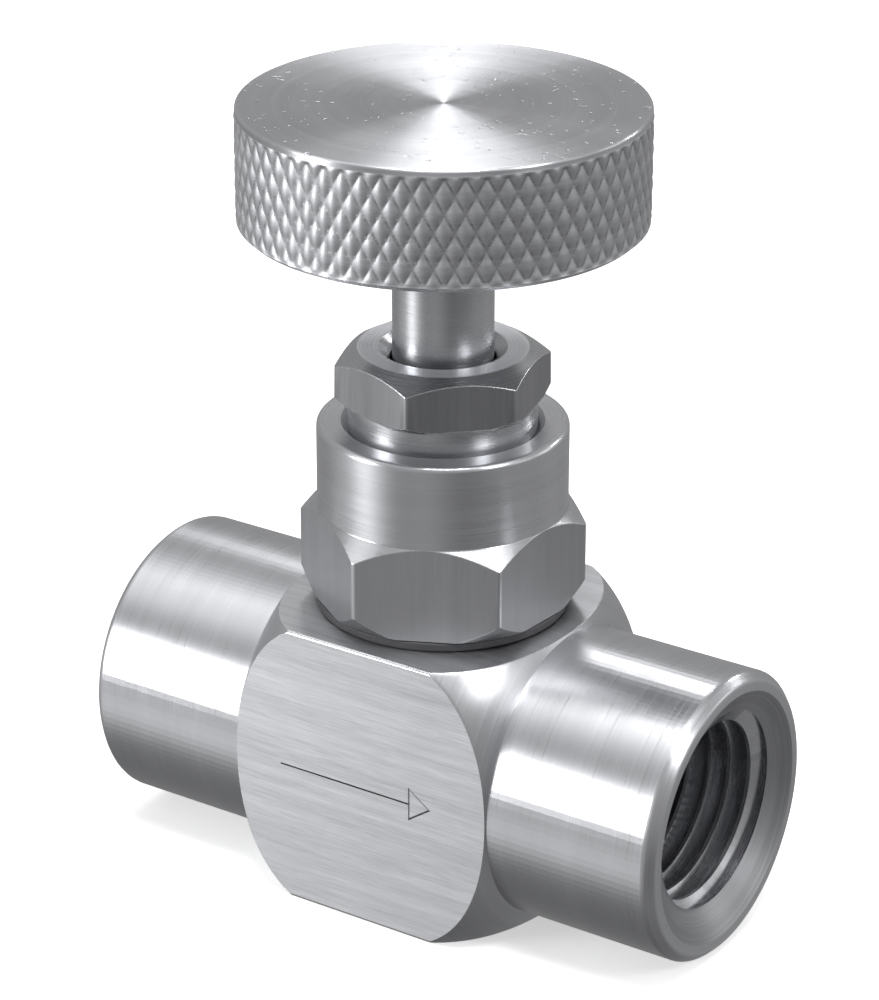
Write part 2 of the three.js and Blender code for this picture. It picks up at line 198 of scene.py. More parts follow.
def profile_rows(corners, count, closed=False):
    """Rows of a profile given as (radius, height, fillet) corners.

    Radius and height may differ from column to column. A fillet shrinks where its
    neighbours are too close. Returns radius and height as rows by columns.
    """
    spots = []
    for radius, height, _ in corners:
        spot = [np.broadcast_to(radius, count), np.broadcast_to(height, count)]
        spots.append(np.stack(spot, axis=1).astype(float))
    rows = []
    for i, here in enumerate(spots):
        fillet = corners[i][2]
        if not fillet or (not closed and i in (0, len(spots) - 1)):
            rows.append(here)
            continue
        back = spots[i - 1] - here
        ahead = spots[(i + 1) % len(spots)] - here
        back_length = np.linalg.norm(back, axis=1, keepdims=True)
        ahead_length = np.linalg.norm(ahead, axis=1, keepdims=True)
        back /= back_length
        ahead /= ahead_length
        opening = np.clip((back * ahead).sum(axis=1, keepdims=True), -1, 1)
        half = np.minimum(np.arccos(opening) / 2, math.pi / 2 - 1e-5)
        room = 0.45 * np.minimum(back_length, ahead_length)
        radius = np.minimum(fillet, room * np.tan(half))
        middle = back + ahead
        middle /= np.linalg.norm(middle, axis=1, keepdims=True) + 1e-9
        centre = here + middle * radius / np.sin(half)
        first = here + back * radius / np.tan(half) - centre
        final = here + ahead * radius / np.tan(half) - centre
        sweep = math.pi - 2 * half
        steps = max(2, math.ceil(float(np.median(sweep)) / ARC_STEP))
        for k in range(steps + 1):
            along = k / steps * sweep
            part = np.sin(sweep - along) * first + np.sin(along) * final
            rows.append(centre + part / np.sin(sweep))
    rows = np.array(rows)
    return rows[:, :, 0], rows[:, :, 1]


def prism_radius(angles, apothem, sides, turn, edge):
    """Polar radius of a regular prism with a corner at turn and edges rounded by edge."""
    half = math.pi / sides
    off_corner = np.abs((angles - turn + half) % (2 * half) - half)
    flat = apothem / np.cos(half - off_corner)
    centre = (apothem - edge) / math.cos(half)
    under_root = np.maximum(edge**2 - (centre * np.sin(off_corner)) ** 2, 0)
    arc = centre * np.cos(off_corner) + np.sqrt(under_root)
    return np.where(off_corner < edge_reach(apothem, sides, edge), arc, flat)


def edge_reach(apothem, sides, edge):
    """Angle from a prism's corner to where its rounded edge meets the flat."""
    half = math.pi / sides
    centre = (apothem - edge) / math.cos(half)
    return math.atan2(edge * math.sin(half), centre + edge * math.cos(half))


def prism_columns(apothem, sides, turn, edge, coarse=2.0):
    """Column angles: every coarse degrees, and closer over each rounded edge."""
    reach = edge_reach(apothem, sides, edge)
    near = np.linspace(-reach, reach, 7)
    span = TURN / sides
    share = np.linspace(0, 1, math.ceil(math.degrees(span) / coarse) + 1)[1:-1]
    eased = share - COLUMN_EASE * np.sin(TURN * share) / TURN
    between = reach + (span - 2 * reach) * eased
    one = np.concatenate([near, between])
    return np.concatenate([turn + span * side + one for side in range(sides)])


def round_columns(count):
    return np.arange(count) * TURN / count


def new_object(name, vertices, faces):
    """Mesh object in metres from millimetre points, its faces turned outwards."""
    mesh = bpy.data.meshes.new(name)
    mesh.from_pydata((np.asarray(vertices) * MM).tolist(), [], faces)
    shell = bmesh.new()
    shell.from_mesh(mesh)
    bmesh.ops.recalc_face_normals(shell, faces=shell.faces)
    shell.to_mesh(mesh)
    shell.free()
    obj = bpy.data.objects.new(name, mesh)
    bpy.context.scene.collection.objects.link(obj)
    return obj


def skin(name, radius, height, angles, ring=False):
    """Closed surface about +Z from rows by columns.

    Without ring the first and last rows are poles on the axis; with ring the last row
    joins the first.
    """
    rows, count = radius.shape
    x = radius * np.sin(angles)
    y = -radius * np.cos(angles)
    vertices = np.stack([x, y, height], axis=2).reshape(-1, 3)
    faces = []
    for i in range(rows) if ring else range(1, rows - 2):
        here, there = i * count, (i + 1) % rows * count
        for j in range(count):
            k = (j + 1) % count
            faces.append((here + j, here + k, there + k, there + j))
    if not ring:
        for pole, row in ((0, 1), (rows - 1, rows - 2)):
            base = row * count
            for j in range(count):
                faces.append((pole * count, base + j, base + (j + 1) % count))
        final_pole = np.arange((rows - 1) * count + 1, rows * count)
        drop = np.concatenate([np.arange(1, count), final_pole])
        keep = np.ones(len(vertices), bool)
        keep[drop] = False
        renumber = np.cumsum(keep) - 1
        vertices = vertices[keep]
        faces = [tuple(int(renumber[v]) for v in face) for face in faces]
    return new_object(name, vertices, faces)


def turned(name, corners, ring=False, segments=144):
    """Plain turned piece from profile corners."""
    radius, height = profile_rows(corners, segments, closed=ring)
    return skin(name, radius, height, round_columns(segments), ring)


def rod(name, radius, low, high, segments=64):
    """Plain cylinder, used as a cutter."""
    corners = [(0, low, 0), (radius, low, 0), (radius, high, 0), (0, high, 0)]
    return turned(name, corners, False, segments)


def hexagon_rod(name, apothem, low, high):
    """Hexagon bar, used as a cutter."""
    corner = apothem / math.cos(TURN / 12)
    return rod(name, corner, low, high, 6)


def thread_cutter(
    name, crest, root, pitch, low, high, phase=0.0, crest_flat=0.12, taper=0.0, fade=0.0
):
    """Helical V groove about +Z, right-handed, from low to high.

    crest and root are radii at low. Every groove centre passes phase plus whole pitches
    on the +X side. The root comes back to the crest over the last fade millimetres.
    """
    steps = 72
    past = 0.25 * math.copysign(1, crest - root)
    half_width = pitch / 2 * (1 - crest_flat)
    root_flat = max(half_width - abs(root - crest) * math.tan(TURN / 12), 0.02)
    start = TURN * (low - phase) / pitch
    total = math.ceil((high - low) / pitch * steps)
    vertices, faces = [], []
    for i in range(total + 1):
        angle = start + TURN * i / steps
        middle = low + pitch * i / steps
        ease = np.clip((high - middle) / fade, 0.02, 1) if fade else 1.0
        shift = -taper * (middle - low)
        bottom = crest + (root - crest) * ease + shift
        section = (
            (crest + shift + past, -half_width),
            (crest + shift, -half_width),
            (bottom, -root_flat),
            (bottom, root_flat),
            (crest + shift, half_width),
            (crest + shift + past, half_width),
        )
        for radius, offset in section:
            vertices.append((radius * math.cos(angle), radius * math.sin(angle), middle + offset))
    side = 6
    for i in range(total):
        for k in range(side):
            a, b = i * side + k, i * side + (k + 1) % side
            faces.append((a, b, b + side, a + side))
    faces.append(tuple(range(side)))
    faces.append(tuple(range(total * side, (total + 1) * side)))
    return new_object(name, vertices, faces)


def groove(name, path, width, depth, surface_y, closed=False):
    """V groove cutter along (x, z) points, sunk into a flat that faces -Y."""
    points = np.array(path, float)
    count = len(points)
    lift = 0.1
    vertices, faces = [], []
    for i in range(count):
        before = points[i] - points[i - 1] if closed or i > 0 else points[1] - points[0]
        after = points[(i + 1) % count] - points[i] if closed or i < count - 1 else before
        before, after = before / np.linalg.norm(before), after / np.linalg.norm(after)
        normal = np.array([-(before + after)[1], (before + after)[0]])
        normal /= np.linalg.norm(normal)
        mitre = 1 / max(normal @ np.array([-before[1], before[0]]), 0.2)
        reach = width / 2 * mitre * (1 + lift / depth)
        left, right = points[i] + normal * reach, points[i] - normal * reach
        vertices.append((left[0], surface_y - lift, left[1]))
        vertices.append((right[0], surface_y - lift, right[1]))
        vertices.append((points[i][0], surface_y + depth, points[i][1]))
    for i in range(count if closed else count - 1):
        a, b = 3 * i, 3 * ((i + 1) % count)
        for k in range(3):
            faces.append((a + k, a + (k + 1) % 3, b + (k + 1) % 3, b + k))
    if not closed:
        faces.append((0, 1, 2))
        faces.append((3 * count - 3, 3 * count - 2, 3 * count - 1))
    return new_object(name, vertices, faces)


def block(name, low, high):
    """Rectangular block, used as a cutter."""
    xs, ys, zs = zip(low, high)
    corners = [(x, y, z) for x in xs for y in ys for z in zs]
    faces = [(0, 1, 3, 2), (4, 6, 7, 5), (0, 4, 5, 1), (2, 3, 7, 6), (0, 2, 6, 4), (1, 5, 7, 3)]
    return new_object(name, corners, faces)


def moved(obj, matrix):
    obj.data.transform(matrix)
    return obj


ALONG_X = Matrix.Translation((0, 0, PORT_Z * MM)) @ Matrix.Rotation(math.pi / 2, 4, "Y")
ALONG_MINUS_X = Matrix.Rotation(math.pi, 4, "Z") @ ALONG_X
ALONG_Y = Matrix.Translation((0, 0, SCREW_Z * MM)) @ Matrix.Rotation(-math.pi / 2, 4, "X")


def applied(obj, modifier):
    """Replaces the object's mesh by what the modifier makes of it."""
    graph = bpy.context.evaluated_depsgraph_get()
    result = bpy.data.meshes.new_from_object(obj.evaluated_get(graph))
    obj.modifiers.remove(modifier)
    old = obj.data
    obj.data = result
    name = old.name
    bpy.data.meshes.remove(old)
    result.name = name


def cut(target, cutters):
    """Takes the cutters away from the target, one after another, and deletes them."""
    for cutter in cutters:
        modifier = target.modifiers.new("cut", "BOOLEAN")
        modifier.operation = "DIFFERENCE"
        modifier.solver = "MANIFOLD"
        modifier.object = cutter
        applied(target, modifier)
        bpy.data.objects.remove(cutter)
    return target


def large_groups(keys, areas, least):
    """Marks the faces that cover more than least together with those of the same key."""
    found = np.zeros(len(keys), bool)
    for shift in (0, 0.5):
        _, group = np.unique(np.floor(keys + shift), axis=0, return_inverse=True)
        group = group.ravel()
        found |= np.bincount(group, weights=areas)[group] > least
    return found


def true_normals(mesh, axis, crease):
    """Shades large flat and turned faces by their exact normals.

    axis is the turning axis, 0 to 2. Small faces beside them, such as fillets, take the
    same normals where they touch, so that a flat stays flat up to its rounded edge.
    """
    count = len(mesh.polygons)
    normals, areas = np.empty(count * 3), np.empty(count)
    mesh.polygons.foreach_get("normal", normals)
    mesh.polygons.foreach_get("area", areas)
    normals = normals.reshape(-1, 3)
    areas /= MM**2
    totals = np.empty(count, int)
    mesh.polygons.foreach_get("loop_total", totals)
    owner = np.repeat(np.arange(count), totals)
    vertex = np.empty(len(mesh.loops), int)
    mesh.loops.foreach_get("vertex_index", vertex)
    points = np.empty(len(mesh.vertices) * 3)
    mesh.vertices.foreach_get("co", points)
    points = points.reshape(-1, 3) / MM
    points -= (0, 0, {0: PORT_Z, 1: SCREW_Z, 2: 0}[axis])

    first_loop = np.concatenate([[0], np.cumsum(totals)[:-1]])
    offset = (normals * points[vertex[first_loop]]).sum(axis=1)
    flat = large_groups(np.column_stack([normals * 200, offset * 25]), areas, LARGE_FLAT)
    turned_key = np.column_stack([normals[:, axis] * 60, offset * 20])
    turned_face = large_groups(turned_key, np.where(flat, 0, areas), LARGE_TURNED) & ~flat

    across = [k for k in range(3) if k != axis]
    outward = points[vertex][:, across]
    outward = outward / (np.linalg.norm(outward, axis=1, keepdims=True) + 1e-9)
    facing = normals[owner]
    sideways = np.linalg.norm(facing[:, across], axis=1, keepdims=True)
    sign = np.sign((facing[:, across] * outward).sum(axis=1, keepdims=True))
    exact = facing.copy()
    exact[:, across] = outward * sign * sideways
    near = (exact * facing).sum(axis=1) > math.cos(math.radians(4))
    known = flat[owner] | (turned_face[owner] & near)
    exact = np.where(flat[owner][:, None], facing, exact)

    smooth = np.empty(len(vertex) * 3)
    mesh.corner_normals.foreach_get("vector", smooth)
    smooth = smooth.reshape(-1, 3)
    result = np.where(known[:, None], exact, smooth)
    offers = {}
    for loop in np.flatnonzero(known):
        offers.setdefault(vertex[loop], []).append(exact[loop])
    limit = math.cos(math.radians(crease))
    touching = np.zeros(len(points), bool)
    touching[list(offers)] = True
    for loop in np.flatnonzero(~known & touching[vertex]):
        offered = np.array(offers[vertex[loop]])
        match = offered @ facing[loop]
        if match.max() > limit:
            result[loop] = offered[match.argmax()]
    mark_bends(mesh, flat | turned_face)
    mesh.normals_split_custom_set(result.tolist())


def mark_bends(mesh, flat):
    """Stores how far each face bends outwards (1) or inwards (0); 0.5 on large flats. The steel
    colours outward bends lighter, as wear and painted highlight, and inward bends darker, as
    painted shade.
    """
    count = len(mesh.polygons)
    normals, centres = np.empty(count * 3), np.empty(count * 3)
    mesh.polygons.foreach_get("normal", normals)
    mesh.polygons.foreach_get("center", centres)
    normals, centres = normals.reshape(-1, 3), centres.reshape(-1, 3)
    totals = np.empty(count, int)
    mesh.polygons.foreach_get("loop_total", totals)
    owner = np.repeat(np.arange(count), totals)
    edge = np.empty(len(mesh.loops), int)
    mesh.loops.foreach_get("edge_index", edge)
    order = np.argsort(edge, kind="stable")
    pairs = owner[order].reshape(-1, 2)
    one, other = pairs[:, 0], pairs[:, 1]
    apart = centres[other] - centres[one]
    length = np.linalg.norm(apart, axis=1) + 1e-9
    rise = ((normals[other] - normals[one]) * apart).sum(axis=1) / length
    total, weight = np.zeros(count), np.zeros(count)
    for side in (one, other):
        np.add.at(total, side, rise)
        np.add.at(weight, side, 1.0)
    bend = np.clip(0.5 + BEND_GAIN * total / weight, 0, 1)
    bend[flat] = 0.5
    layer = mesh.attributes.new(BEND, "FLOAT", "FACE")
    layer.data.foreach_set("value", bend.astype(np.float32))


def finish_piece(obj, body, materials, nodes, paint=None, crease=32, axis=2):
    """Shades a piece, gives it its materials and ties it to its CAD body and nodes.

    paint picks a material number for a face from its centre and normal in mm.
    """
    mesh = obj.data
    mesh.shade_smooth()
    mesh.set_sharp_from_angle(angle=math.radians(crease))
    true_normals(mesh, axis, crease)
    mesh.materials.clear()
    for material in materials:
        mesh.materials.append(material)
    if paint:
        for face in mesh.polygons:
            face.material_index = paint(face.center / MM, face.normal)
    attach(obj, body)
    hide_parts(*nodes)


# --- Materials ---


class Graph:
    """Short calls for building one material's node tree."""

    def __init__(self, name):
        self.material = bpy.data.materials.new(name)
        self.material.use_nodes = True
        self.tree = self.material.node_tree
        self.shader = self.tree.nodes["Principled BSDF"]

    def node(self, kind, inputs=(), **settings):
        made = self.tree.nodes.new("ShaderNode" + kind)
        for key, value in settings.items():
            setattr(made, key, value)
        for key, value in dict(inputs).items():
            self.put(value, made.inputs[key])
        return made

    def put(self, value, socket):
        if isinstance(value, bpy.types.NodeSocket):
            self.tree.links.new(value, socket)
        else:
            socket.default_value = value

    def math(self, operation, a, b=0.0, clamp=False):
        return self.node("Math", {0: a, 1: b}, operation=operation, use_clamp=clamp).outputs[0]

    def vector(self, operation, a, b=(0, 0, 0)):
        return self.node("VectorMath", {0: a, 1: b}, operation=operation).outputs[0]

    def length(self, a):
        return self.node("VectorMath", {0: a}, operation="LENGTH").outputs["Value"]

    def noise(self, vector, scale, detail=3.0, roughness=0.55):
        inputs = {"Vector": vector, "Scale": scale, "Detail": detail, "Roughness": roughness}
        return self.node("TexNoise", inputs).outputs["Fac"]

    def remap(self, value, low, high, to_low=0.0, to_high=1.0):
        spans = {"From Min": low, "From Max": high, "To Min": to_low, "To Max": to_high}
        return self.node("MapRange", {"Value": value, **spans}, clamp=True).outputs["Result"]

    def mix(self, factor, a, b):
        made = self.node("Mix", data_type="RGBA")
        self.put(factor, made.inputs[0])
        self.put(a, made.inputs[6])
        self.put(b, made.inputs[7])
        return made.outputs[2]

    def place(self):
        """Object position in millimetres."""
        where = self.node("TexCoord").outputs["Object"]
        return self.vector("MULTIPLY", where, (1 / MM,) * 3)

    def finish(self, colour, rough, height, depth):
        """Links colour, roughness and a bump of a depth in mm to the shader."""
        self.put(colour, self.shader.inputs["Base Color"])
        self.put(rough, self.shader.inputs["Roughness"])
        bump = self.node("Bump", {"Strength": 0.5, "Distance": depth * MM, "Height": height})
        self.put(bump.outputs[0], self.shader.inputs["Normal"])
        return self.material


def brushed_place(graph, along):
    """Coordinates that run slowly along the brush direction and fast across it."""
    slow = 0.025
    scale = {"X": (slow, 1, 1), "Z": (1, 1, slow)}[along]
    return graph.vector("MULTIPLY", graph.place(), scale)


def turned_place(graph, axis):
    """Coordinates that hold still around a turning axis, but for a slow drift."""
    centre = (0, 0, PORT_Z) if axis == "X" else (0, 0, 0)
    place = graph.vector("SUBTRACT", graph.place(), centre)
    across = {"X": (0, 1, 1), "Z": (1, 1, 0)}[axis]
    distance = graph.length(graph.vector("MULTIPLY", place, across))
    along = graph.node("SeparateXYZ", {0: place}).outputs[axis]
    drift = graph.math("MULTIPLY", graph.noise(place, 0.12, 1.0), 0.35)
    return graph.node("CombineXYZ", {0: distance, 1: along, 2: drift}).outputs[0]


# Anisotropic rotation: the highlight spreads along the tangent, or across it.
ALONG, ACROSS = 0.0, 0.25

STEEL_TINT = (0.955, 0.965, 1.0, 1)


def steel(name, tone, rough, grain, axis, spread, aniso, fine, depth, contrast, dents=0.0):
    """Machined steel. grain is "brushed" along the axis or "turned" around it.

    fine is the grain's scale, depth the bump in mm and dents the depth of small pits.
    """
    graph = Graph(name)
    where = brushed_place(graph, axis) if grain == "brushed" else turned_place(graph, axis)
    place = graph.place()

    lines = graph.noise(where, fine, 4.0, 0.75)
    bands = graph.noise(where, fine / 7, 2.0, 0.5)
    blotches = graph.noise(graph.vector("MULTIPLY", where, (0.3,) * 3), 1.0, 3.0, 0.6)
    specks = graph.remap(graph.noise(place, 4.5, 2.0, 0.6), 0.72, 0.8)
    flaws = graph.noise(graph.vector("MULTIPLY", place, (1.0, 1.6, 0.7)), 0.55, 2.0, 0.5)
    off_flaw = graph.math("ABSOLUTE", graph.math("SUBTRACT", flaws, 0.5))
    scratch = graph.remap(off_flaw, 0.0, 0.0025, 1.0, 0.0)

    bend = graph.node("Attribute", attribute_name=BEND).outputs["Fac"]
    edge = graph.remap(bend, 0.55, 0.9)
    crease_shade = graph.remap(bend, 0.45, 0.1)

    value = graph.math("ADD", graph.remap(lines, 0.3, 0.7, -contrast, contrast), tone)
    value = graph.math("ADD", value, graph.remap(bands, 0.3, 0.7, -contrast / 2, contrast / 2))
    value = graph.math("ADD", value, graph.remap(blotches, 0.3, 0.7, -0.03, 0.03))
    # Faces that bend outwards, the rounded edges and knurl points, get a lighter colour: worn
    # edges and a painted highlight.
    value = graph.math("ADD", value, graph.math("MULTIPLY", edge, 0.2), clamp=True)
    # Painted shade: faces that bend inwards, such as creases, inner fillets, thread roots and
    # knurl valleys, get a darker colour.
    value = graph.math("SUBTRACT", value, graph.math("MULTIPLY", crease_shade, 0.3), clamp=True)
    value = graph.math("SUBTRACT", value, graph.math("MULTIPLY", specks, 0.08), clamp=True)
    colour = graph.mix(value, (0, 0, 0, 1), STEEL_TINT)

    gloss = graph.math("ADD", graph.remap(lines, 0.3, 0.7, -0.04, 0.05), rough)
    gloss = graph.math("ADD", gloss, graph.remap(blotches, 0.3, 0.7, -0.012, 0.018))
    gloss = graph.math("SUBTRACT", gloss, graph.math("MULTIPLY", scratch, 0.03))
    gloss = graph.math("SUBTRACT", gloss, graph.math("MULTIPLY", edge, 0.06), clamp=True)

    tangent = graph.node("Tangent", direction_type="RADIAL", axis=axis)
    graph.put(tangent.outputs[0], graph.shader.inputs["Tangent"])
    graph.shader.inputs["Metallic"].default_value = 1.0
    graph.shader.inputs["Anisotropic"].default_value = aniso
    graph.shader.inputs["Anisotropic Rotation"].default_value = spread
    relief = graph.math("ADD", lines, graph.math("MULTIPLY", scratch, -0.12))
    if dents:
        pits = graph.remap(graph.noise(place, 2.2, 0.0), 0.76, 0.82)
        relief = graph.math("SUBTRACT", relief, graph.math("MULTIPLY", pits, dents))
    return graph.finish(colour, gloss, relief, depth)


def soft_sheet(name, colour, rough, fine):
    """Pressed PTFE or gasket sheet: matt, with a fine grain and faint stains."""
    graph = Graph(name)
    place = graph.place()
    grains = graph.noise(place, fine, 3.0, 0.6)
    stains = graph.noise(place, 0.8, 2.0, 0.5)
    full = tuple(colour) + (1,)
    darker = tuple(c * 0.78 for c in colour) + (1,)
    stained = graph.mix(graph.remap(stains, 0.35, 0.7), full, darker)
    grained = graph.mix(graph.remap(grains, 0.55, 0.75, 0, 0.4), stained, darker)
    gloss = graph.remap(grains, 0.3, 0.7, rough - 0.08, rough + 0.1)
    return graph.finish(grained, gloss, grains, 0.01)


flat_steel = steel("body_flat", 0.53, 0.38, "brushed", "X", ALONG, 0.6, 13.0, 0.003, 0.08)
port_steel = steel("body_turned", 0.62, 0.3, "turned", "X", ACROSS, 0.6, 8.0, 0.0015, 0.035)
# Thread crests get a bright tone as a painted highlight; the thread flanks and bore a darker tone
# as painted shade inside the port.
crest_steel_painted_highlight = steel("body_crest_painted_highlight", 0.9, 0.26, "turned", "X", ACROSS, 0.2, 6.0, 0.003, 0.04)
flank_steel_painted_shade = steel("body_thread_painted_shade", 0.5, 0.3, "turned", "X", ACROSS, 0.2, 6.0, 0.003, 0.04)
sink_steel = steel("body_sink", 0.4, 0.38, "turned", "X", ACROSS, 0.4, 5.0, 0.004, 0.08)
engraved_steel = steel("body_engraved", 0.36, 0.5, "brushed", "X", ALONG, 0.0, 7.0, 0.003, 0.04)
bonnet_turned = steel("bonnet_turned", 0.62, 0.29, "turned", "Z", ACROSS, 0.6, 9.0, 0.002, 0.025)
bonnet_flat = steel("bonnet_flat", 0.49, 0.4, "brushed", "Z", ALONG, 0.4, 11.0, 0.002, 0.025)
# Very dark tone for the bonnet's downward faces under the hexagon: painted shade.
bonnet_foot_painted_shade = steel("bonnet_foot_painted_shade", 0.2, 0.45, "turned", "Z", ACROSS, 0.2, 9.0, 0.003, 0.03)
nut_turned = steel("nut_turned", 0.55, 0.28, "turned", "Z", ACROSS, 0.5, 7.0, 0.003, 0.03)
nut_flat = steel("nut_flat", 0.36, 0.4, "brushed", "Z", ALONG, 0.3, 9.0, 0.003, 0.025)
# The bright tone on the nut's top face is painted light from above; its mottling and small pits
# are the face's own.
nut_face_painted_light = steel("nut_face_painted_light", 0.9, 0.4, "turned", "Z", ACROSS, 0.3, 5.0, 0.005, 0.14, 10.0)
ground_steel = steel("stem_ground", 0.57, 0.28, "turned", "Z", ACROSS, 0.65, 11.0, 0.001, 0.015)
knob_face = steel("knob_face", 0.64, 0.33, "turned", "Z", ACROSS, 0.9, 9.0, 0.003, 0.05, 12.0)
knob_knurl = steel("knob_knurl", 0.5, 0.5, "turned", "Z", ACROSS, 0.0, 5.0, 0.003, 0.04)
screw_black = steel("screw_black", 0.1, 0.4, "turned", "Z", ACROSS, 0.2, 6.0, 0.004, 0.02)
# Near-black gasket: its colour is painted shade for the dark gap under the bonnet's hexagon.
gasket_sheet_painted_shade = soft_sheet("gasket_sheet_painted_shade", (0.05, 0.05, 0.055), 0.6, 6.0)
packing_ptfe = soft_sheet("packing_ptfe", (0.86, 0.85, 0.82), 0.45, 4.0)


# --- Valve body ---


def crown_x(radius):
    """Where the rounded shoulder has a distance from the port axis."""
    return CROWN_X + np.sqrt(CROWN_RADIUS**2 - (radius - CROWN_OFFSET) ** 2)


def port_corners(bar):
    """Half of the body's outline, from the +X port's drill point to the bar."""
    shares = [step / CROWN_STEPS for step in range(1, CROWN_STEPS)]
    shoulder = [PORT_RADIUS + (bar - PORT_RADIUS) * share for share in shares]
    foot = END_X - TAP_DEPTH
    sink_foot = END_X - (SINK_RADIUS - PORT_MOUTH) / math.tan(SINK_HALF_ANGLE)
    return [
        (0, foot - TAP_RADIUS / math.tan(DRILL_POINT), 0),
        (TAP_RADIUS, foot, 0.2),
        (PORT_MOUTH, sink_foot, 0.1),
        (SINK_RADIUS, END_X, 0.12),
        (PORT_RADIUS - PORT_EDGE, END_X, 0.35),
        (PORT_RADIUS, END_X - PORT_EDGE, 0.5),
        (PORT_RADIUS, crown_x(PORT_RADIUS), 0.06),
        *[(radius, crown_x(radius), 0) for radius in shoulder],
        (bar, crown_x(bar), 0.13),
    ]


def body_blank():
    """Square bar with both ends turned and bored, lying along X."""
    angles = prism_columns(HALF_BAR, 4, TURN / 8, BAR_EDGE, 1.5)
    bar = prism_radius(angles, HALF_BAR, 4, TURN / 8, BAR_EDGE)
    right = port_corners(bar)
    left = [(radius, -height, fillet) for radius, height, fillet in reversed(right)]
    radius, height = profile_rows(right + left, len(angles))
    return moved(skin("body_shape", radius, height, angles), ALONG_X)


def bonnet_hole():
    """Tapped hole, flow chamber and orifice."""
    tapped = BONNET_TAP_RADIUS
    well = INLET_PASSAGE_Z - PASSAGE_RADIUS - 0.3
    mouth = BONNET_THREAD + 0.2
    return turned("bonnet_hole", [
        (0, well, 0),
        (ORIFICE_RADIUS, well, 0),
        (ORIFICE_RADIUS, SEAT_Z, 0),
        (CHAMBER_RADIUS, SEAT_Z, 0),
        (CHAMBER_RADIUS, BONNET_TAP_Z, 0),
        (tapped, BONNET_TAP_Z, 0),
        (tapped, BODY_TOP - (mouth - tapped), 0),
        (mouth, BODY_TOP, 0),
        (mouth, BODY_TOP + 1, 0),
        (0, BODY_TOP + 1, 0),
    ])


def port_thread(placing):
    """Tapered pipe thread, cut from the mouth inwards."""
    start = -END_X + 0.2
    cutter = thread_cutter(
        "port_thread",
        PORT_MOUTH,
        PORT_MOUTH + NPT_HEIGHT,
        NPT_PITCH,
        start,
        start + THREAD_DEPTH,
        crest_flat=0.14,
        taper=NPT_TAPER,
        fade=THREAD_FADE,
    )
    return moved(cutter, placing)


def flow_arrow():
    """Generic engraved arrow that points with the flow: one line and an open head."""
    low, high = PORT_Z - ARROW_HALF, PORT_Z + ARROW_HALF
    triangle = [(ARROW_HEAD_X, low), (ARROW_TIP_X, PORT_Z), (ARROW_HEAD_X, high)]
    line = [(ARROW_TAIL_X, PORT_Z), (ARROW_HEAD_X, PORT_Z)]
    size = (ARROW_WIDTH, ARROW_DEPTH, -HALF_BAR)
    return [
        groove("arrow_line", line, *size),
        groove("arrow_head", triangle, *size, closed=True),
    ]


def passage(low, high, z):
    """Flow passage along X."""
    placing = Matrix.Translation((0, 0, z * MM)) @ Matrix.Rotation(math.pi / 2, 4, "Y")
    return moved(rod("passage", PASSAGE_RADIUS, low, high), placing)


def body_paint(centre, normal):
    """Material number: flats, turned faces, thread crests (painted highlight), arrow, bores and
    thread flanks (painted shade), sinks.
    """
    flat = max(abs(normal.y), abs(normal.z)) > 0.999
    below_flat = -HALF_BAR + 0.005 < centre.y < -HALF_BAR + ARROW_DEPTH
    beside_arrow = ARROW_TAIL_X - 0.2 < centre.x < ARROW_TIP_X + 0.25
    if below_flat and beside_arrow and abs(centre.z - PORT_Z) < ARROW_HALF + 0.45:
        return 3
    on_bar = max(abs(centre.y), abs(centre.z - PORT_Z)) > HALF_BAR - 0.02
    if flat and on_bar and abs(centre.x) < END_X / 2:
        return 0
    across = math.hypot(centre.y, centre.z - PORT_Z)
    deep = END_X - abs(centre.x)
    sink = SINK_RADIUS - deep * math.tan(SINK_HALF_ANGLE)
    bore = TAP_RADIUS + NPT_TAPER * (TAP_DEPTH - deep)
    if abs(across - sink) < 0.05 and across < SINK_RADIUS:
        return 5
    if deep < 1.4 * TAP_DEPTH and across < bore + NPT_HEIGHT + 0.1:
        on_crest = across < bore + 0.06 and deep < THREAD_DEPTH - THREAD_FADE
        # Crests take the painted highlight, the rest of the thread and bore the painted shade.
        return 2 if on_crest else 4
    return 1


def make_body():
    body = body_blank()
    reach = END_X - TAP_DEPTH + PASSAGE_RADIUS
    bonnet_thread = thread_cutter(
        "bonnet_thread",
        BONNET_TAP_RADIUS,
        BONNET_THREAD + 0.08,
        BONNET_PITCH,
        BONNET_TAP_START,
        BODY_TOP + 0.6,
    )
    cutters = [bonnet_hole(), bonnet_thread]
    cutters += [passage(-reach, 0, INLET_PASSAGE_Z), passage(0, reach, OUTLET_PASSAGE_Z)]
    cutters += [port_thread(ALONG_X), port_thread(ALONG_MINUS_X)]
    cut(body, cutters + flow_arrow())
    materials = [flat_steel, port_steel, crest_steel_painted_highlight, engraved_steel, flank_steel_painted_shade, sink_steel]
    finish_piece(body, "valve_body", materials, ["body"], body_paint, axis=0)


def bonnet_paint(centre, normal):
    """0 on turned faces, 1 on the hexagon's flats, 2 on its downward faces low down, which carry
    painted shade.
    """
    across = math.hypot(centre.x, centre.y)
    on_hexagon = HEX_FOOT < centre.z < HEX_TOP and across > HEX_APOTHEM - 0.05
    if centre.z < HEX_TOP - 2 and normal.z < -0.1:
        return 2
    return 1 if on_hexagon and abs(normal.z) < 0.05 else 0


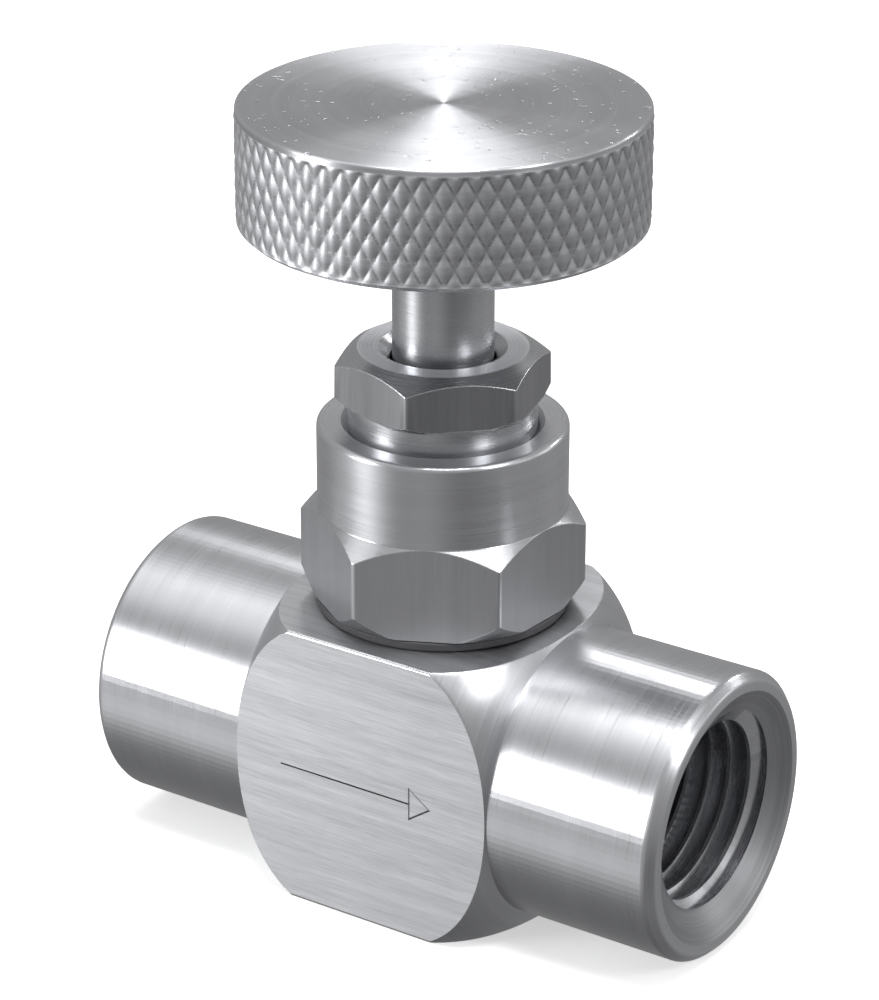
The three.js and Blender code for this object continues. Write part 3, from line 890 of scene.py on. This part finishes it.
def make_bonnet():
    angles = prism_columns(HEX_APOTHEM, 6, HEX_TURN, HEX_EDGE)
    flats = prism_radius(angles, HEX_APOTHEM, 6, HEX_TURN, HEX_EDGE)
    foot_rise = np.maximum(flats - HEX_FOOT_RADIUS, 0) * 1.1 / 0.85 + 0.03
    stem_tapped = STEM_THREAD - STEM_THREAD_HEIGHT + 0.08
    packing_bore = PACKING_RADIUS + LOOSE
    gland_bore = NUT_SHANK - NUT_THREAD_HEIGHT + 0.1
    sink = NUT_SHANK + 0.45
    shoulder = STEM_THREAD_TOP + STEM_PITCH + 2 * STACK_GAP
    corners = [
        (stem_tapped + 0.5, BONNET_FOOT, 0),
        (BONNET_THREAD - 0.5, BONNET_FOOT, 0.1),
        (BONNET_THREAD, BONNET_FOOT + 0.5, 0.1),
        (BONNET_THREAD, BODY_TOP - 1.2, 0.1),
        (BONNET_RELIEF, BODY_TOP - 0.6, 0.2),
        (BONNET_RELIEF, HEX_FOOT, 0.2),
        (np.minimum(flats, HEX_FOOT_RADIUS), HEX_FOOT, 0.1),
        (flats, HEX_FOOT + foot_rise, 0.12),
        (flats, HEX_TOP - (flats - BONNET_RADIUS) - 0.02, 0.12),
        (BONNET_RADIUS, HEX_TOP, 0.2),
        (BONNET_RADIUS, BONNET_TOP, 0.35),
        (sink, BONNET_TOP, 0.1),
        (gland_bore, BONNET_TOP - (sink - gland_bore), 0),
        (gland_bore, GLAND_FOOT + 0.9, 0),
        (NUT_SHANK + 0.1, GLAND_FOOT + 0.7, 0),
        (NUT_SHANK + 0.1, GLAND_FOOT, 0),
        (packing_bore, GLAND_FOOT, 0.1),
        (packing_bore, PACKING_Z - STACK_GAP, 0.05),
        (STEM_BORE, PACKING_Z - STACK_GAP, 0.1),
        (STEM_BORE, shoulder, 0.1),
        (STEM_THREAD + 0.1, shoulder, 0),
        (STEM_THREAD + 0.1, shoulder - 1.2, 0),
        (stem_tapped, shoulder - 1.4, 0),
        (stem_tapped, BONNET_FOOT + 0.5, 0),
    ]
    radius, height = profile_rows(corners, len(angles), closed=True)
    bonnet = skin("bonnet_shape", radius, height, angles, ring=True)
    outer_thread = thread_cutter(
        "outer_thread",
        BONNET_THREAD,
        BONNET_THREAD - 0.62,
        BONNET_PITCH,
        BONNET_FOOT - 0.4,
        BODY_TOP - 0.6,
        phase=BONNET_TAP_START + BONNET_PITCH / 2,
        crest_flat=MALE_CREST,
    )
    stem_thread = thread_cutter(
        "stem_thread_nut",
        stem_tapped,
        STEM_THREAD + 0.06,
        STEM_PITCH,
        BONNET_FOOT - 0.5,
        shoulder - 1.2,
        phase=STEM_FOOT,
    )
    gland_thread = thread_cutter(
        "gland_thread_nut",
        gland_bore,
        NUT_SHANK + 0.06,
        NUT_PITCH,
        GLAND_FOOT + 1.0,
        BONNET_TOP + 0.3,
        phase=NUT_FOOT,
    )
    cut(bonnet, [outer_thread, stem_thread, gland_thread])
    materials = [bonnet_turned, bonnet_flat, bonnet_foot_painted_shade]
    finish_piece(bonnet, "valve_body", materials, ["bonnet"], bonnet_paint)


def nut_paint(centre, normal):
    """0 on turned faces, 1 on the hexagon's flats, 2 on its top, which carries painted light."""
    across = math.hypot(centre.x, centre.y)
    on_hexagon = NUT_HEX_Z < centre.z < NUT_TOP and across > NUT_APOTHEM - 0.05
    if centre.z > NUT_TOP - 0.05 and across > STEM_BORE + 0.3:
        return 2
    return 1 if on_hexagon and abs(normal.z) < 0.05 else 0


def make_gland_nut():
    angles = prism_columns(NUT_APOTHEM, 6, NUT_TURN, NUT_EDGE)
    flats = prism_radius(angles, NUT_APOTHEM, 6, NUT_TURN, NUT_EDGE)
    foot_drop = np.maximum(flats - NUT_FOOT_RADIUS, 0) * 0.6
    sink = 4.05
    corners = [
        (STEM_BORE, NUT_FOOT, 0.05),
        (NUT_SHANK - 0.4, NUT_FOOT, 0.05),
        (NUT_SHANK, NUT_FOOT + 0.4, 0.05),
        (NUT_SHANK, NUT_HEX_Z, 0.1),
        (np.minimum(flats, NUT_FOOT_RADIUS) + 0.02, NUT_HEX_Z, 0.05),
        (flats + 0.03, NUT_HEX_Z + 0.1 + foot_drop, 0.08),
        (flats, NUT_TOP - (flats - NUT_FACE_RADIUS) * math.tan(TURN / 12), 0.1),
        (NUT_FACE_RADIUS, NUT_TOP, 0.2),
        (sink, NUT_TOP, 0.1),
        (STEM_BORE, NUT_TOP - (sink - STEM_BORE), 0.1),
    ]
    radius, height = profile_rows(corners, len(angles), closed=True)
    nut = skin("gland_nut_shape", radius, height, angles, ring=True)
    shank_thread = thread_cutter(
        "shank_thread",
        NUT_SHANK,
        NUT_SHANK - NUT_THREAD_HEIGHT,
        NUT_PITCH,
        NUT_FOOT - 0.2,
        BONNET_TOP - 0.3,
        phase=NUT_FOOT + NUT_PITCH / 2,
        crest_flat=MALE_CREST,
    )
    cut(nut, [shank_thread])
    materials = [nut_turned, nut_flat, nut_face_painted_light]
    finish_piece(nut, "valve_body", materials, ["gland_nut"], nut_paint)


def make_gasket():
    low, high = box_mm("bonnet_gasket")
    inner = 6.5
    gasket = turned("gasket_shape", [
        (inner, low[2], 0.1),
        (high[0], low[2], 0.15),
        (high[0], high[2], 0.15),
        (inner, high[2], 0.1),
    ], ring=True)
    finish_piece(gasket, "valve_body", [gasket_sheet_painted_shade], ["bonnet_gasket"])


def packing_ring(name, node, edge):
    """Plain ring in the packing bore, as tall as its CAD node."""
    low, high = box_mm(node)
    return turned(name, [
        (STEM_BORE, low[2], edge),
        (PACKING_RADIUS, low[2], edge),
        (PACKING_RADIUS, high[2], edge),
        (STEM_BORE, high[2], edge),
    ], ring=True)


def make_packing():
    """Washer and three rings under the gland follower."""
    washer = packing_ring("packing_washer_shape", "packing_washer", 0.08)
    finish_piece(washer, "valve_body", [bonnet_turned], ["packing_washer"])
    for level in ("lower", "middle", "upper"):
        ring = packing_ring("packing_" + level + "_shape", "packing_ring_" + level, 0.2)
        finish_piece(ring, "valve_body", [packing_ptfe], ["packing_ring_" + level])
    low, high = box_mm("gland_follower")
    follower = turned("gland_follower_shape", [
        (STEM_BORE, low[2], 0.1),
        (PACKING_RADIUS, low[2], 0.15),
        (PACKING_RADIUS, FLANGE_Z, 0.1),
        (high[0], FLANGE_Z, 0.1),
        (high[0], high[2], 0.15),
        (STEM_BORE, high[2], 0.15),
    ], ring=True)
    finish_piece(follower, "valve_body", [bonnet_turned], ["gland_follower"])


# --- Moving parts ---


def make_stem():
    mouth = NECK_RADIUS + LOOSE
    socket = HEAD_RADIUS + LOOSE
    stem = turned("stem_shape", [
        (0, STEM_FOOT + SOCKET_DEPTH, 0),
        (socket, STEM_FOOT + SOCKET_DEPTH, 0.1),
        (socket, STEM_FOOT + MOUTH_DEPTH, 0.1),
        (mouth, STEM_FOOT + MOUTH_DEPTH, 0.1),
        (mouth, STEM_FOOT, 0.1),
        (STEM_THREAD - 0.45, STEM_FOOT, 0.1),
        (STEM_THREAD, STEM_FOOT + 0.45, 0.1),
        (STEM_THREAD, STEM_THREAD_TOP - 0.6, 0.1),
        (STEM_RADIUS, STEM_THREAD_TOP, 0.3),
        (STEM_RADIUS, STEM_TOP - 0.3, 0.15),
        (STEM_RADIUS - 0.3, STEM_TOP, 0.1),
        (0, STEM_TOP, 0),
    ])
    thread = thread_cutter(
        "stem_thread",
        STEM_THREAD,
        STEM_THREAD - STEM_THREAD_HEIGHT,
        STEM_PITCH,
        STEM_FOOT - 0.3,
        STEM_THREAD_TOP,
        phase=STEM_FOOT + STEM_PITCH / 2,
        crest_flat=MALE_CREST,
    )
    flat_depth = 0.4
    flat_height = 3.1
    flat = block(
        "stem_flat",
        (-STEM_RADIUS, STEM_RADIUS - flat_depth, STEM_TOP - flat_height),
        (STEM_RADIUS, 2 * STEM_RADIUS, STEM_TOP + 1),
    )
    cut(stem, [thread, flat])
    finish_piece(stem, "spindle", [ground_steel], ["stem"])


def make_needle():
    seat_z = SEAT_Z + TURNS_OPEN * STEM_PITCH + SEAT_LIFT
    neck_top = STEM_FOOT + MOUTH_DEPTH + 2 * LOOSE
    head_top = STEM_FOOT + SOCKET_DEPTH - 2 * LOOSE
    needle = turned("needle_shape", [
        (0, seat_z - (ORIFICE_RADIUS - NEEDLE_TIP) / NEEDLE_SLOPE, 0),
        (NEEDLE_TIP, seat_z - (ORIFICE_RADIUS - NEEDLE_TIP) / NEEDLE_SLOPE, 0.1),
        (NEEDLE_RADIUS, seat_z + (NEEDLE_RADIUS - ORIFICE_RADIUS) / NEEDLE_SLOPE, 0.2),
        (NEEDLE_RADIUS, STEM_FOOT - 2 * LOOSE, 0.15),
        (NECK_RADIUS, STEM_FOOT - 2 * LOOSE, 0.1),
        (NECK_RADIUS, neck_top, 0.1),
        (HEAD_RADIUS, neck_top, 0.1),
        (HEAD_RADIUS, head_top, 0.25),
        (0, head_top, 0),
    ], segments=96)
    finish_piece(needle, "needle", [ground_steel], ["needle_tip"])


def knurl_height(angles, z):
    """Height of the diamond knurl, 0 in the grooves and 1 on the worn, domed points."""
    around = KNURL_COUNT * angles / TURN
    up = z / KNURL_ROW
    one = np.abs(np.sin(math.pi * (around + up)))
    other = np.abs(np.sin(math.pi * (around - up)))
    return (one * other) ** KNURL_DOME


def make_knob():
    """Disc with a faced top and a diamond-knurled rim."""
    angles = round_columns(KNURL_COUNT * 14)
    count = len(angles)
    low, high = KNOB_FOOT + KNOB_FOOT_EDGE, KNOB_TOP - KNOB_LIP
    bottom_r, bottom_z = profile_rows([
        (0, STEM_TOP + 0.3, 0),
        (STEM_BORE, STEM_TOP + 0.3, 0),
        (STEM_BORE, KNOB_FOOT + 0.3, 0),
        (STEM_BORE + 0.3, KNOB_FOOT, 0),
        (KNOB_RADIUS - KNOB_FOOT_EDGE - KNURL_FOOT, KNOB_FOOT, 0.1),
        (KNOB_RADIUS - KNURL_FOOT, low, 0),
    ], count)
    top_r, top_z = profile_rows([
        (KNOB_RADIUS - 0.06, high, 0),
        (KNOB_RADIUS - 0.06, KNOB_TOP, 0.35),
        (0.6, KNOB_TOP, 0),
        (0.35, KNOB_TOP - 0.04, 0),
        (0, KNOB_TOP - 0.05, 0),
    ], count)
    levels = np.linspace(low, high, 70)[:, None]
    fade = np.clip(np.minimum(levels - low, (high - levels) * 1.5) / 0.3, 0, 1)
    height = knurl_height(angles[None, :], levels - low)
    depth = KNURL_DEPTH * (1 - height) * fade + (1 - fade) * KNURL_DEPTH * KNURL_BAND
    rim_r = KNOB_RADIUS - depth
    rim_z = np.repeat(levels, count, axis=1)
    radius = np.vstack([bottom_r, rim_r, top_r])
    rows_z = np.vstack([bottom_z, rim_z, top_z])
    knob = skin("knob_shape", radius, rows_z, angles)
    screw_hole = moved(rod("screw_hole", SCREW_TAP_RADIUS, 2.5, 14), ALONG_Y)
    screw_thread = thread_cutter(
        "screw_thread_nut",
        SCREW_TAP_RADIUS,
        SCREW_RADIUS + 0.06,
        SCREW_PITCH,
        2.8,
        KNOB_RADIUS + 1,
    )
    cut(knob, [screw_hole, moved(screw_thread, ALONG_Y)])

    def paint(centre, normal):
        across = math.hypot(centre.x, centre.y)
        on_rim = across > KNOB_RADIUS - 0.5 and low < centre.z < high
        return 1 if on_rim else 0

    finish_piece(knob, "spindle", [knob_face, knob_knurl], ["knob"], paint, 50)


def make_set_screw():
    start, end = screw_low[1], screw_high[1]
    screw = turned("set_screw_shape", [
        (0, start + 0.2, 0),
        (0.8, start, 0.05),
        (SCREW_RADIUS - 0.4, start, 0.05),
        (SCREW_RADIUS, start + 0.4, 0),
        (SCREW_RADIUS, end - 0.3, 0),
        (SCREW_RADIUS - 0.3, end, 0.1),
        (0, end, 0),
    ], segments=72)
    socket_depth = 2
    thread = thread_cutter(
        "set_screw_thread",
        SCREW_RADIUS,
        SCREW_RADIUS - SCREW_THREAD_HEIGHT,
        SCREW_PITCH,
        start - 0.2,
        end + 0.2,
        phase=SCREW_PITCH / 2,
        crest_flat=MALE_CREST,
    )
    socket = hexagon_rod("set_screw_socket", SCREW_KEY, end - socket_depth, end + 1)
    cut(screw, [socket, thread])
    moved(screw, ALONG_Y)
    finish_piece(screw, "spindle", [screw_black], ["knob_set_screw"], axis=1)


make_body()
make_bonnet()
make_gland_nut()
make_gasket()
make_packing()
make_stem()
make_needle()
make_knob()
make_set_screw()

# --- Stage ---


def towards(azimuth, elevation):
    """Unit vector to a compass angle measured from -Y towards +X, and a height angle."""
    a, e = math.radians(azimuth), math.radians(elevation)
    return Vector((math.sin(a) * math.cos(e), -math.cos(a) * math.cos(e), math.sin(e)))


# The camera that was solved from the photograph: degrees and millimetres.
CAMERA_AZIMUTH = 33.655
CAMERA_ELEVATION = 23.973
CAMERA_ROLL = 0.1435
CAMERA_DISTANCE = 236.21
CAMERA_TARGET = (-0.247, 0, 25.765)
LENS = 134.79
SENSOR = 36


def make_camera():
    """Camera at the photograph's angle, looking at a point near the top of the hexagon."""
    around, roll = math.radians(CAMERA_AZIMUTH), math.radians(CAMERA_ROLL)
    back = towards(CAMERA_AZIMUTH, CAMERA_ELEVATION)
    level = Vector((math.cos(around), math.sin(around), 0))
    right = level * math.cos(roll) + back.cross(level) * math.sin(roll)
    up = back.cross(right)
    data = bpy.data.cameras.new("camera")
    data.sensor_fit = "VERTICAL"
    data.sensor_height = SENSOR
    data.lens = LENS
    data.clip_start = 0.01
    data.clip_end = 20
    camera = bpy.data.objects.new("camera", data)
    turn = Matrix((right, up, back)).transposed().to_4x4()
    place = Vector(CAMERA_TARGET) + back * CAMERA_DISTANCE
    camera.matrix_world = Matrix.Translation(place * MM) @ turn
    bpy.context.scene.collection.objects.link(camera)
    bpy.context.scene.camera = camera


def soft_light(name, azimuth, elevation, distance, width, height, power):
    """Rectangular lamp that looks at the middle of the valve."""
    data = bpy.data.lights.new(name, "AREA")
    data.shape = "RECTANGLE"
    data.size, data.size_y, data.energy = width, height, power
    lamp = bpy.data.objects.new(name, data)
    way = towards(azimuth, elevation)
    lamp.location = Vector((0, 0, 0.02)) + way * distance
    lamp.rotation_euler = way.to_track_quat("Z", "Y").to_euler()
    bpy.context.scene.collection.objects.link(lamp)


def make_floor():
    """Plain pale floor; it stays out of reflections, as in the cut-out photograph."""
    graph = Graph("floor_pale")
    clouds = graph.noise(graph.place(), 0.02, 2.0)
    pale = graph.mix(clouds, (0.84, 0.84, 0.84, 1), (0.88, 0.88, 0.88, 1))
    graph.put(pale, graph.shader.inputs["Base Color"])
    graph.shader.inputs["Roughness"].default_value = 0.9
    graph.shader.inputs["Emission Color"].default_value = (1, 1, 1, 1)
    graph.shader.inputs["Emission Strength"].default_value = 0.45
    half = 3.0
    corners = [(-half, -half, 0), (half, -half, 0), (half, half, 0), (-half, half, 0)]
    mesh = bpy.data.meshes.new("floor")
    mesh.from_pydata(corners, [], [(0, 1, 2, 3)])
    mesh.materials.append(graph.material)
    floor = bpy.data.objects.new("floor", mesh)
    floor.visible_glossy = False
    bpy.context.scene.collection.objects.link(floor)


# Brightness of the surroundings: (elevation, value), from straight down to straight up.
SKY = ((-90, 0.15), (-50, 0.25), (-30, 0.3), (-15, 0.34), (10, 0.38), (40, 0.45), (90, 0.5))
# Glows: azimuth, elevation, tightness, strength.
GLOWS = (
    (-37, -26, 32, 0.85),
    (-60, 48, 60, 0.95),
    (97, 58, 30, 1.2),
    (-88, 66, 35, 1.0),
    (-70, -24, 30, 0.22),
    (108, 13, 80, 0.9),
    (137, 14, 60, 1.3),
    (150, -24, 60, 0.05),
    (16, -24, 30, 0.08),
    (54, -22, 18, -0.15),
    (86, -24, 25, -0.1),
)


def make_world():
    """Studio surroundings: grey above, darker below, with broad soft glows."""
    world = bpy.data.worlds.new("studio")
    world.use_nodes = True
    tree = world.node_tree

    def node(kind, *inputs, **settings):
        made = tree.nodes.new("ShaderNode" + kind)
        for key, value in settings.items():
            setattr(made, key, value)
        for socket, value in zip(made.inputs, inputs):
            if isinstance(value, bpy.types.NodeSocket):
                tree.links.new(value, socket)
            else:
                socket.default_value = value
        return made

    where = node("TexCoord").outputs["Generated"]
    height = node("SeparateXYZ", where).outputs["Z"]
    share = node("MapRange", height, -1.0, 1.0, 0.0, 1.0).outputs["Result"]
    ramp = node("ValToRGB", share)
    elements = ramp.color_ramp.elements
    while len(elements) < len(SKY):
        elements.new(0.5)
    for element, (elevation, value) in zip(elements, SKY):
        element.position = (math.sin(math.radians(elevation)) + 1) / 2
        element.color = (value, value, value, 1)
    total = node("SeparateXYZ", ramp.outputs["Color"]).outputs["X"]
    for azimuth, elevation, tightness, strength in GLOWS:
        way = towards(azimuth, elevation)
        facing = node("VectorMath", where, way, operation="DOT_PRODUCT").outputs["Value"]
        facing = node("Math", facing, 0.0, operation="MAXIMUM").outputs[0]
        glow = node("Math", facing, tightness, operation="POWER").outputs[0]
        total = node("Math", glow, strength, total, operation="MULTIPLY_ADD").outputs[0]
    tree.links.new(total, tree.nodes["Background"].inputs["Color"])
    bpy.context.scene.world = world



make_camera()
make_floor()
make_world()
soft_light("key", -40, 9, 0.45, 0.14, 0.2, 1.2)
soft_light("top", 40, 72, 0.5, 0.2, 0.08, 1.4)
soft_light("back", -148, 44, 0.5, 0.09, 0.1, 0.17)
soft_light("strip", -27, 77, 0.5, 0.16, 0.05, 0.4)
soft_light("side", 85, 35, 0.5, 0.12, 0.12, 0.5)
soft_light("rim", 160, 25, 0.5, 0.05, 0.05, 0.15)
bpy.context.scene.view_settings.view_transform = "Standard"
